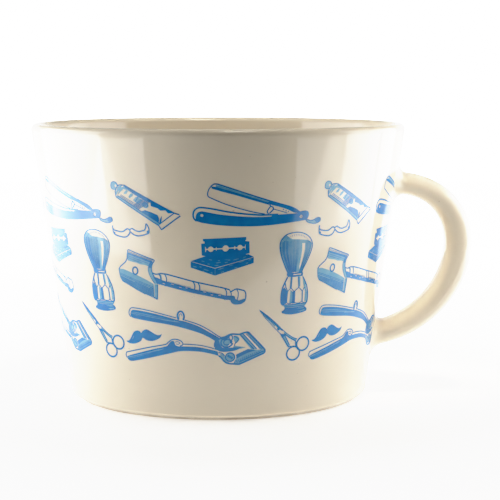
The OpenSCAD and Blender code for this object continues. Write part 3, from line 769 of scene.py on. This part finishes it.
def draw_safety_razor(d):
    d.curve([(-24.45, 47.15), (-24.1, 47.3), (-22, 46.6), (-19, 45.6), (-16.85, 44.9), (-16.8, 44.5),
             (-17.1, 44.1)], MEDIUM)
    d.curve([(-24.45, 47.2), (-24.7, 46), (-24.9, 45), (-25.5, 44), (-26.5, 43.2), (-27.4, 42.5),
             (-27.9, 41.8)], 0.3)
    d.wash([(-24.6, 46.7), (-17.2, 44.6), (-17.7, 43.9), (-18.6, 43.1), (-19.5, 43.4), (-21, 43.5),
            (-22, 43.9), (-23.3, 44.1), (-24.7, 44.4), (-24.9, 45.2)])
    d.line([(-24.5, 46.35), (-17.3, 44.25)], 0.5, 0.6)
    d.line([(-24.6, 45.7), (-18.6, 43.9)], FINE)
    d.line([(-24.7, 45.2), (-20.4, 43.9)], FINE)
    d.line([(-24.2, 46.85), (-17.1, 44.7)], FINE)
    side = smooth([(-17, 44.3), (-17.5, 43.2), (-17.6, 42), (-17.3, 41), (-16.8, 39.8), (-15.9, 38.3)])
    side += smooth([(-16.9, 38.3), (-17.8, 39.6), (-18.4, 41), (-18.7, 42.3), (-18.4, 43.4), (-17.8, 44.2)])
    d.wash(side)
    d.curve([(-17.1, 44.2), (-17.55, 43.2), (-17.65, 42), (-17.35, 41), (-16.8, 39.8), (-16.1, 38.3)],
            MEDIUM)
    d.curve([(-17, 38.4), (-17.85, 39.7), (-18.45, 41), (-18.65, 42.4), (-18.3, 43.5)], FINE)
    d.fill(rounded([(-17.5, 44), (-17.6, 43), (-18.2, 42.6), (-18.4, 43.3), (-18, 44.1)]))
    d.ring(-22.65, 41.65, 0.78, 1, 0.42, -8)
    guard = [(-27.9, 41.9), (-26.4, 41.9), (-24.5, 41.3), (-22, 40.4), (-20, 39.55), (-18, 38.65),
             (-17.3, 38.2), (-17.35, 34.5), (-20, 35.3), (-22.5, 36.4), (-25, 37.65), (-27.1, 38.6),
             (-27.65, 39.6), (-27.85, 40.9)]
    d.wash(guard)
    d.line(guard[8:] + guard[:1], THIN)
    d.hatch([(-27.5, 39.9), (-17.35, 36.9), (-17.35, 34.6), (-20, 35.4), (-22.5, 36.5), (-27.1, 38.7)], -20,
            0.3, 0.2)
    d.hatch([(-27.7, 41), (-17.4, 37.6), (-17.4, 37), (-27.6, 40.2)], -18, 0.34, FINE)
    for k in range(26):
        x, y = between((-26.8, 38.55), (-17.4, 34.45), k / 25)
        d.fill([(x - 0.13, y + 0.06), (x + 0.13, y - 0.06), (x - 0.05, y - 0.26)])
    d.line([(-16.15, 38.2), (-16.45, 34.1)], 0.34)
    d.line([(-17.4, 34.6), (-16.45, 34)], 0.3)
    d.wash([(-17.1, 38.2), (-16.3, 38.2), (-16.5, 34.2), (-17.2, 34.6)])

    d.curve([(-17.4, 41.3), (-16.6, 41), (-15.8, 41.05), (-15.1, 41.25), (-14.3, 41.15), (-13.4, 41.1),
             (-10, 40.3), (-6.2, 39.35), (-0.5, 38.15), (2.6, 37.45), (4, 37)], 0.34)
    scratches = ((-14.2, -0.2, 0.5), (-11.8, 0.25, 0.5), (-9.6, -0.1, 0.4), (-7.9, 0.2, 0.35),
                 (-2.9, 0.2, 0.5), (-0.9, -0.15, 0.4), (1.2, 0.15, 0.45))
    marks = [(x, 37.75 - 0.215 * (x + 10) + lift, length, -12) for x, lift, length in scratches]
    d.fill([(-17.3, 40.25), (-16, 40), (-14.7, 39.4), (-13.5, 39.1), (-10, 38.3), (-6.4, 37.35),
            (-4.4, 36.9), (0, 36.05), (2.6, 35.5), (4.2, 35.4), (4.2, 34.25), (3, 34.3), (0, 34.9),
            (-4.5, 35.8), (-6.6, 36.2), (-10, 36.95), (-14.5, 38), (-16.1, 38.35)], *flecks(marks, 0.09))
    for k in range(44):
        x = -12.9 + 0.34 * k
        if not -6.6 < x < -4.3:
            y = 39 - 0.222 * (x + 13)
            d.line([(x, y - 0.2), (x + 0.1, y + 0.26)], FINE, 0.05)
    for x, low, high in ((-15.5, 38.2, 41.1), (-13.8, 37.8, 41.1), (-5.95, 36.1, 39.3), (-4.6, 35.8, 39),
                         (2.75, 34.3, 37.4), (4.05, 34.2, 36.9)):
        middle = (high + low) / 2
        d.curve([(x - 0.1, high), (x + 0.35, middle + 0.6), (x + 0.25, middle - 0.6), (x - 0.2, low)], 0.3)
    d.wash([(-15.3, 41), (-14.9, 41), (-14.7, 39.2), (-15.2, 39.2)])
    d.curve([(4.1, 36.3), (4.9, 36.85), (5.9, 37.25), (7, 37), (8, 36.7), (8.4, 36), (8.45, 35), (8.2, 34),
             (7.4, 33.35), (6.3, 33.1), (5.3, 33.15), (4.6, 33.6), (4.2, 34.4)], 0.34)
    d.curve([(5.9, 37.2), (6.3, 36.3), (6.3, 35.2), (6.05, 34.2)], 0.26)
    d.fill(rounded([(4.2, 35.3), (5.3, 35.25), (5.6, 34.5), (6.5, 34.1), (7.6, 34.4), (8.25, 34.5),
                    (7.6, 33.5), (6.3, 33.15), (5.1, 33.25), (4.4, 34)]))


def draw_shaving_brush(d):
    d.curve([(20.3, 41.2), (19.4, 42.9), (18.2, 45.6), (17.6, 48), (17.6, 49.5), (18.1, 50.6), (19.2, 51.65),
             (20.6, 52.1)], 0.4, 0.3)
    d.curve([(20.6, 52.1), (22.2, 52.25), (23.9, 52), (25.4, 51.3), (26.5, 50.3), (27.1, 49.2), (27.2, 48),
             (26.8, 46.4), (25.9, 44.2), (24.9, 42.2), (24.5, 41.2)], 0.27)
    glint = [(24, 49.2), (24.9, 49.2), (24.95, 47.5), (24.6, 45.2), (24.2, 43.4), (23.7, 42), (23.6, 42.8),
             (23.9, 45.2), (24.1, 47.3)]
    d.wash([(20.3, 41.3), (19.5, 42.9), (18.3, 45.6), (17.75, 48), (17.8, 49.6), (18.4, 50.8), (19.3, 51.5),
            (20, 50.9), (21, 50.4), (22.5, 50.3), (24, 50.15), (25.4, 50), (26.5, 49.6), (27, 49),
            (26.95, 48), (26.6, 46.4), (25.6, 44), (24.7, 42.2), (24.3, 41.3)], glint)
    hairs = 26
    for k in range(hairs + 1):
        t = k / hairs
        if 0.6 < t < 0.82:
            continue
        top = 50.2 + 0.35 * math.sin(7 * t) * math.sin(19 * t) - 0.8 * (2 * t - 1) ** 4
        heavy = (0.3 if t < 0.2 else 0.2) if k % 3 else 0.1
        d.curve([(20.6 + 3.7 * t, 41.3), (19.6 + 5.6 * t, 43.4), (18.3 + 8.2 * t, 46.6),
                 (18 + 8.8 * t, top)], heavy, heavy * (0.7 if t < 0.2 else 0.3), steps=3)
    for k in range(18):
        a = math.radians(146 - 7.4 * k)
        x, y = 22.3 + 4.2 * math.cos(a), 48.2 + 3.5 * math.sin(a)
        d.line([(x, y), (x - 0.1 * math.cos(a), y - 0.4)], 0.1, 0.05)
    d.fill([(20.1, 41.6), (22.3, 41.05), (24.7, 41.5), (24.95, 40.9), (24.9, 40.15), (22.4, 39.95),
            (20.3, 40.05), (20, 40.7)], [(21.9, 40.45), (24.3, 40.5), (24.4, 40.85), (22, 40.72)])

    d.curve([(20.3, 40), (19.6, 38.6), (18.95, 37), (18.7, 35.4), (18.7, 33.6), (18.85, 32.8),
             (19.4, 32.25)], 0.42)
    d.curve([(24.9, 40), (25.7, 38.8), (26.5, 37.1), (26.9, 35.4), (27, 33.8), (26.9, 32.8), (26.4, 32.2)],
            0.34)
    d.line([(21.5, 40.1), (21.45, 36.9)], 0.55)
    d.line([(23.6, 40), (23.95, 36.9)], 0.34)
    d.line([(19.6, 38.6), (19.95, 37.2), (20.55, 36.05), (21.5, 36.95), (22.55, 35.9), (23.95, 37),
            (25.15, 35.9), (25.75, 36.9)], 0.32)
    d.line([(22.5, 35.95), (22.6, 32.6)], 0.85)
    d.line([(25.15, 36), (25.35, 32.9)], 0.36)
    d.line([(20.5, 36.1), (20.4, 32.8)], 0.32)
    d.fill([(18.8, 36.6), (19.6, 37.2), (20.5, 35.9), (20.35, 32.7), (19.4, 32.3), (18.8, 33)])
    d.wash([(21.4, 36.5), (22.3, 35.6), (22.3, 32.7), (21.3, 32.7)])
    d.wash([(25, 39.6), (25.8, 38.4), (26.7, 35.4), (26.8, 33), (26.1, 33), (26.1, 35.6), (25.3, 37.9)])
    d.wash([(23.7, 40), (24.2, 40), (24.4, 37.3), (24, 37)])
    for x, half in ((21.3, 0.85), (23.95, 1.15), (26.1, 0.7)):
        d.line(oval(x, 33.1, half, 0.5, 0, 180, 360, 10), THIN)
    collar = [(19.3, 32.4), (22.5, 32.35), (26.6, 32.6), (26.7, 32.1), (26.2, 31.6), (22.5, 31.5),
              (19.9, 31.6)]
    d.wash(collar)
    d.line([(19.4, 32.3), (22.5, 32.3), (26.6, 32.5)], MEDIUM)
    d.line([(19.9, 31.85), (22.5, 31.75), (26.3, 31.9)], THIN)
    base = [(19.9, 31.6), (22.5, 31.45), (26.2, 31.6), (26.7, 31.3), (27.1, 30.8), (26.9, 30.3),
            (25.8, 29.95), (23.8, 29.65), (22.2, 29.55), (20.4, 29.7), (19.2, 30.05), (19.1, 30.55),
            (19.7, 30.9), (19.95, 31.3)]
    high_glint = [(23.4, 31.15), (25.9, 31.4), (26.3, 31.1), (25.2, 31)]
    low_glint = [(24.2, 30.35), (26.3, 30.75), (26.5, 30.5), (25, 30.15)]
    d.fill(base, high_glint, low_glint)
    d.wash(base)


def draw_clippers(d):
    d.curve([(-25.4, 28.7), (-25.9, 29.5), (-25.6, 30.6), (-24.4, 31.25), (-19.9, 30.85), (-15.1, 29.95),
             (-11.2, 29.1)], 0.28)
    top = smooth([(-25.4, 29.5), (-25, 30.35), (-24, 30.7), (-19.9, 30.35), (-15, 29.5), (-10.6, 28.5),
                  (-8.6, 28.15), (-4.9, 26.95), (-1.9, 25.4), (1.2, 23.7)])
    top += smooth([(0, 22.75), (-1.9, 23.9), (-4.9, 25.15), (-10, 26.5), (-13.9, 27.2), (-19.9, 27.85),
                   (-24.3, 28.35), (-25.3, 28.8)])
    d.wash(top)
    light = rounded([(-24.6, 30.1), (-19.5, 29.6), (-13, 28.55), (-10, 27.9), (-13, 28.1), (-19.5, 28.8),
                     (-24.6, 29.3)])
    d.fill(top, light)
    d.hatch(light, -7, 0.42, 0.24)
    d.curve([(-8.8, 28.6), (-4.9, 27.45), (-1.9, 25.95), (0.6, 24.35), (1.7, 23.8)], 0.28)
    d.line(oval(-9.85, 29.6, 0.95, 1.35, 0, -50, 230, 24), 0.5)
    d.curve([(-10.4, 28.7), (-10.3, 29.8), (-9.75, 30.3), (-9.4, 29.6)], THIN)

    d.curve([(-28.1, 17), (-28.35, 17.7), (-28.1, 18.3), (-27.4, 18.65), (-20, 20.45), (-15, 21.5),
             (-13.9, 22.2), (-12.8, 22.95), (-11.7, 23.1), (-10.4, 22.85), (-9.6, 22.2), (-9.7, 21.5),
             (-10.4, 21.3)], 0.3)
    d.curve([(-9.6, 21.85), (-4.9, 21.65), (-1.5, 21), (0.5, 20.4)], 0.28)
    low = smooth([(-28.05, 17), (-26.9, 17.7), (-19.9, 19.7), (-14.8, 20.95), (-13.9, 21.6), (-13, 22.5),
                  (-12.2, 22.5), (-11.8, 21.5), (-10.9, 21.15)])
    low += smooth([(-10.2, 21.15), (-4.9, 21.05), (0.6, 19.95)])
    low += smooth([(0.9, 18.65), (-1, 19.2), (-4.9, 19.85), (-10, 19.85), (-13.9, 19), (-19.9, 17.5),
                   (-26, 16.15), (-27.6, 16.35)])
    light = rounded([(-27.2, 17.3), (-20, 19.3), (-15.4, 20.3), (-20, 18.7), (-27, 16.8)])
    d.wash(low)
    d.fill(low, light)
    d.hatch(light, 15, 0.42, 0.22)
    d.curve([(-11.9, 22.3), (-11, 22.45), (-10.4, 22.1), (-10.9, 21.75), (-11.6, 21.8)], THIN)

    d.curve([(0.2, 23), (1.7, 23.7), (2.8, 24), (3.8, 24.5), (4.8, 24.75), (6.8, 24.65), (8, 25),
             (9.2, 25.2), (9.7, 24.95)], 0.46)
    d.line([(9.55, 25.1), (14.2, 20.5), (14.6, 20), (14.6, 19.5), (14.2, 19.1), (6.9, 16.25)], 0.5)
    d.curve([(6.9, 16.25), (5.6, 16.35), (3.6, 16.55), (2.5, 17.2), (1.7, 18.1), (0.9, 18.75)], 0.46)
    d.wash([(6.9, 24.5), (7.9, 24.9), (12.2, 20.3), (10.4, 20.4)])
    d.line([(7.1, 24.5), (11.2, 20.4)], 0.34)
    d.line([(8, 24.7), (12.1, 20.4)], MEDIUM)
    d.wash([(8.9, 25), (9.6, 25), (14.2, 20.4), (14.2, 19.9), (13.1, 20.2)])
    d.line([(8.8, 24.8), (13, 20.5)], THIN)
    d.hatch([(9, 24.9), (9.6, 24.9), (14, 20.6), (13.2, 20.3)], 38, 0.42, THIN)
    d.wash([(6.2, 19.1), (9.5, 20.5), (12, 20.2), (14.4, 20.1), (14.4, 19.3), (6.9, 16.4), (5.2, 16.5),
            (5.9, 17.8)])
    d.fill([(5.9, 18.9), (9.4, 20.4), (11.9, 20.1), (9.4, 19.4), (7.6, 18.6), (6.3, 17.9)])
    d.line([(14.3, 19.75), (7, 17)], 0.34)
    d.hatch([(14.2, 19.5), (7, 16.7), (5.4, 16.6), (5.8, 17.4), (7.4, 18), (13.2, 20)], 66, 0.44, THIN)
    d.wash([(0.1, 22.9), (1.7, 23.6), (3.8, 24.4), (4.6, 22.5), (3.4, 21.2), (1.9, 21.3), (0.4, 20.4),
            (-0.2, 21.2)])
    d.curve([(-0.3, 21.2), (-0.2, 22.3), (0.2, 23.1)], 0.4)
    d.fill(rounded([(-0.2, 20.9), (0.2, 22.7), (0.9, 23.1), (1.3, 22), (2.1, 21), (4.4, 20.95), (7.4, 21),
                    (5.9, 20.2), (3.6, 19.85), (1.4, 19.9)]))
    d.fill(rounded([(1.8, 23.6), (3.8, 24.3), (4.5, 24.5), (3.7, 23.7), (3, 23.1), (2, 23.1)]))
    d.line(oval(3.3, 22.5, 1.75, 1.4, 15, 60, 330, 24), 0.42)
    d.line(oval(3.3, 22.5, 0.95, 0.75, 15, 20, 300, 20), 0.3)
    d.ring(4.4, 23.8, 0.5, 0.75, 0.34, 10)
    d.fill(oval(4.5, 22.6, 0.4, 0.55, 0, steps=14))
    d.curve([(5.2, 24.1), (5.9, 23.9), (6.6, 23.3), (6.2, 22.6), (5.6, 22), (5.6, 21.4)], MEDIUM)
    d.wash(rounded([(5.2, 24.2), (6.4, 24.1), (6.9, 23.2), (6, 22.2), (5.4, 22.8)]))
    d.wash([(5.4, 21.5), (8.9, 21), (7.4, 20.6), (5, 20.9)])
    d.ring(4.25, 18.3, 1.35, 1.2, 0.36)
    d.wash(oval(4.25, 18.3, 1.3, 1.15))
    d.line([(3.5, 18.8), (5, 17.9)], 0.7)
    d.curve([(0.8, 19.6), (1.9, 19.4), (2.7, 18.7)], MEDIUM)
    d.wash([(1.2, 19.2), (2.3, 19.3), (2.9, 18.2), (3.2, 17.2), (4.2, 16.8), (3.4, 16.7), (2.4, 17.4),
            (1.6, 18.3)])


def draw_solid_moustache(d):
    d.fill(rounded([(-27.7, 21.7), (-26.8, 21.9), (-26.1, 22.6), (-25.3, 23.8), (-24.6, 24.6), (-23.6, 24.9),
                    (-22.8, 24.75), (-22.3, 24.4), (-21.8, 24.95), (-21, 25.35), (-20.3, 25.4), (-19.3, 25),
                    (-18.2, 24.4), (-17.2, 24.05), (-16.4, 24.1), (-15.85, 24.4), (-16, 23.85),
                    (-16.5, 23.25), (-17.4, 22.75), (-18.6, 22.35), (-19.9, 22.25), (-21, 22.5),
                    (-21.7, 22.95), (-22.1, 22.85), (-22.6, 22.15), (-23.6, 21.55), (-25, 21.15),
                    (-26.4, 21.1), (-27.3, 21.4)]), [(-24.85, 23.45), (-25.15, 23.2), (-25.65, 22.35),
                                                     (-25.5, 22.3), (-25, 23)])
    d.wash([(-24.7, 23.6), (-25.3, 23.2), (-25.8, 22.3), (-25.4, 22.1), (-24.8, 23)])


def draw_scissors(d):
    d.fill([(12.3, 31.4), (13.3, 30.85), (15, 29.6), (16.5, 28.4), (18.2, 26.95), (19.5, 25.7),
            (20.4, 24.95), (19.4, 25.2), (18.2, 26), (17, 27.1), (15.3, 28.4), (13.7, 29.8), (12.8, 30.8)])
    d.curve([(12.6, 31), (14, 29.25), (16, 27.2), (18.1, 25.2), (19.2, 24.25)], 0.14, 0.22)
    d.wash([(13, 30.4), (14.2, 29.2), (16.2, 27.3), (17.4, 26.2), (17.2, 26.9), (15.4, 28.3), (13.7, 29.8)])
    d.fill(oval(18.45, 25.75, 0.45, 0.5, steps=16))
    d.fill([(18.9, 24.35), (20.9, 24.05), (20.2, 23.4), (19.8, 23)])
    d.curve([(19.5, 25.6), (21.3, 24.2), (23.3, 23), (24.7, 22.5)], THIN)
    d.curve([(20.3, 24.3), (22.1, 23.05), (24.3, 21.9)], 0.34)
    d.wash([(20.2, 25), (21.3, 24.2), (23.3, 23), (24.7, 22.5), (24.3, 21.9), (22.1, 23), (20.4, 24.1)])
    d.curve([(19.3, 24.1), (20.4, 22.55), (21.5, 21), (22.1, 20.3)], 0.36)
    d.curve([(20.5, 23.9), (21.4, 22.4), (22.3, 20.9)], 0.28)
    d.wash([(19.4, 24), (20.4, 23.8), (22.4, 20.8), (22, 20.3), (21.4, 21)])
    d.curve([(24.3, 21.9), (24.35, 21), (24.7, 20.2), (25.4, 19.4)], 0.42)
    d.curve([(22.1, 20.55), (23.3, 20.45), (24.5, 20.5)], MEDIUM)
    d.ring(26.75, 21, 2.08, 1.92, 0.48)
    d.ring(23.7, 18.5, 2.15, 1.92, 0.48)


MOTIFS = {
    "straight_razors": draw_straight_razor,
    "cream_tubes": draw_cream_tube,
    "outline_moustaches": draw_outline_moustache,
    "blade_boxes": draw_blade_box,
    "safety_razors": draw_safety_razor,
    "shaving_brushes": draw_shaving_brush,
    "clippers": draw_clippers,
    "solid_moustaches": draw_solid_moustache,
    "scissors": draw_scissors,
}


# ---------- studio ----------

FLOOR_LEFT, FLOOR_RIGHT, FLOOR_FRONT, FLOOR_BACK = -0.6, 0.6, -0.13, 0.9
COOL, WARM, WHITE = (0.97, 1.0, 1.04), (1.0, 0.95, 0.84), (1, 1, 1)
CARD_SIZE = 0.16
CARD_LIFT = 0.002
PANEL_HEIGHT = 0.21
BACK_LIGHT, FRONT_LIGHT, HIGH_LIGHT = 1.35, 0.02, 0.02
BACKDROP = 4
HIGHLIGHT_END = 4
HIGHLIGHTS = ((0.6, 0.6), (0.8, 0.79), (1.0, 0.915), (1.4, 0.965), (2.2, 0.992))
CAMERA_PLACE = (0.0093, -0.4712, 0.0957)
CAMERA_DIP = 0.113
LENS, SENSOR_WIDTH = 114.9, 36


def lay_floor():
    mesh = bpy.data.meshes.new("floor")
    corners = [(FLOOR_LEFT, FLOOR_FRONT, 0), (FLOOR_RIGHT, FLOOR_FRONT, 0),
               (FLOOR_RIGHT, FLOOR_BACK, 0), (FLOOR_LEFT, FLOOR_BACK, 0)]
    mesh.from_pydata(corners, [], [(0, 1, 2, 3)])
    floor = bpy.data.objects.new("floor", mesh)
    mesh.materials.append(floor_material())
    bpy.context.scene.collection.objects.link(floor)


def area_light(name, middle, aim, width, height, power, colour):
    light = bpy.data.lights.new(name, "AREA")
    light.shape = "RECTANGLE"
    light.size, light.size_y = width, height
    light.energy = power
    light.color = colour
    obj = bpy.data.objects.new(name, light)
    obj.location = middle
    obj.rotation_euler = (Vector(aim) - Vector(middle)).to_track_quat("-Z", "Y").to_euler()
    obj.visible_camera = False
    bpy.context.scene.collection.objects.link(obj)
    return obj


def lying_card(name, corner, heading, power):
    """A lit card flat on the floor, with one side along the heading from the corner, outwards."""
    along = Vector((math.sin(heading), -math.cos(heading), 0))
    outside = Vector((math.cos(heading), math.sin(heading), 0)) * math.copysign(1, corner[0])
    middle = Vector((*corner, CARD_LIFT)) + (along + outside) * CARD_SIZE / 2
    card = area_light(name, middle, middle + Vector((0, 0, 1)), CARD_SIZE, CARD_SIZE, power, WHITE)
    card.rotation_euler = (math.pi, 0, heading)


def standing_panel(name, front, back, power):
    """An upright lit panel, given by the floor points below its front and back edges; it faces the mug."""
    front, back = Vector((*front, 0)), Vector((*back, 0))
    foot = (front + back) / 2
    along = (back - front).normalized()
    facing = Vector((along.y, -along.x, 0))
    if facing.dot(foot) > 0:
        facing.negate()
    middle = foot + Vector((0, 0, PANEL_HEIGHT / 2))
    area_light(name, middle, middle + facing, (back - front).length, PANEL_HEIGHT, power, COOL)


def narrow_light(name, middle, aim, size, power, spread):
    """A small light whose beam spreads only so many degrees, so that it reaches one place."""
    light = area_light(name, middle, aim, size, size, power, WARM)
    light.data.spread = math.radians(spread)


def hang_lights():
    lying_card("left_card", (-0.097, -0.127), math.radians(-45), 0.25)
    lying_card("right_card", (0.114, -0.118), math.radians(47), 0.145)
    standing_panel("left_panel", (-0.21, -0.09), (-0.25, 0.19), 0.76)
    standing_panel("right_front", (0.23, -0.055), (0.25, 0.08), 0.34)
    standing_panel("right_back", (0.25, 0.09), (0.27, 0.24), 0.37)
    area_light("top_panel", (0.05, 0.02, 0.55), (0.02, 0, 0), 0.6, 0.5, 1.05, WARM)
    narrow_light("handle_light", (0.09, -0.13, 0.48), (0.06, 0, 0.055), 0.05, 0.005, 10)
    narrow_light("mouth_light", (0.06, -0.10, 0.5), (0.02, 0.02, 0.07), 0.1, 0.026, 34)


def studio_world():
    """White low behind the mug, dark in front of it and overhead, and plain white to the camera itself."""
    world = bpy.data.worlds.new("studio")
    world.use_nodes = True
    tree = world.node_tree
    nodes, links = tree.nodes, tree.links
    split = nodes.new("ShaderNodeSeparateXYZ")
    links.new(nodes.new("ShaderNodeTexCoord").outputs["Generated"], split.inputs["Vector"])
    strength = nodes.new("ShaderNodeMath")
    strength.operation = "MULTIPLY"
    behind = map_range(tree, split.outputs["Y"], -0.3, 0.9, FRONT_LIGHT, BACK_LIGHT, "SMOOTHSTEP")
    low = map_range(tree, split.outputs["Z"], 0.12, 0.5, 1, HIGH_LIGHT, "SMOOTHSTEP")
    links.new(behind, strength.inputs[0])
    links.new(low, strength.inputs[1])
    lit = nodes["Background"]
    lit.inputs["Color"].default_value = (*WHITE, 1)
    links.new(strength.outputs["Value"], lit.inputs["Strength"])
    seen = nodes.new("ShaderNodeBackground")
    seen.inputs["Color"].default_value = (*WHITE, 1)
    seen.inputs["Strength"].default_value = BACKDROP
    choice = nodes.new("ShaderNodeMixShader")
    links.new(nodes.new("ShaderNodeLightPath").outputs["Is Camera Ray"], choice.inputs["Fac"])
    links.new(lit.outputs["Background"], choice.inputs[1])
    links.new(seen.outputs["Background"], choice.inputs[2])
    links.new(choice.outputs["Shader"], nodes["World Output"].inputs["Surface"])
    return world


def soft_highlights(view):
    """Rolls the brightest tones off gently, so that the bright sides of the mug keep their shape."""
    view.view_transform = "Standard"
    view.use_curve_mapping = True
    mapping = view.curve_mapping
    mapping.clip_max_x = HIGHLIGHT_END
    curve = mapping.curves[3]
    curve.points[-1].location = (HIGHLIGHT_END, 1)
    for level, shown in HIGHLIGHTS:
        curve.points.new(level, shown)
    mapping.update()


def set_up_camera():
    data = bpy.data.cameras.new("camera")
    data.lens = LENS
    data.sensor_width = SENSOR_WIDTH
    camera = bpy.data.objects.new("camera", data)
    camera.location = CAMERA_PLACE
    camera.rotation_euler = (math.pi / 2 - CAMERA_DIP, 0, 0)
    bpy.context.scene.collection.objects.link(camera)
    bpy.context.scene.camera = camera


# ---------- the mug in its studio ----------

build_cup()
build_handle()
for motif, draw in MOTIFS.items():
    drawing = Drawing()
    draw(drawing)
    fire_print("ink_" + motif, "print_" + motif, drawing.polygons, INK, FILM_TOP)
    if drawing.washes:
        fire_print("tone_" + motif, "print_" + motif, drawing.washes, TONE, TONE_TOP)
lay_floor()
hang_lights()
bpy.context.scene.world = studio_world()
soft_highlights(bpy.context.scene.view_settings)
set_up_camera()
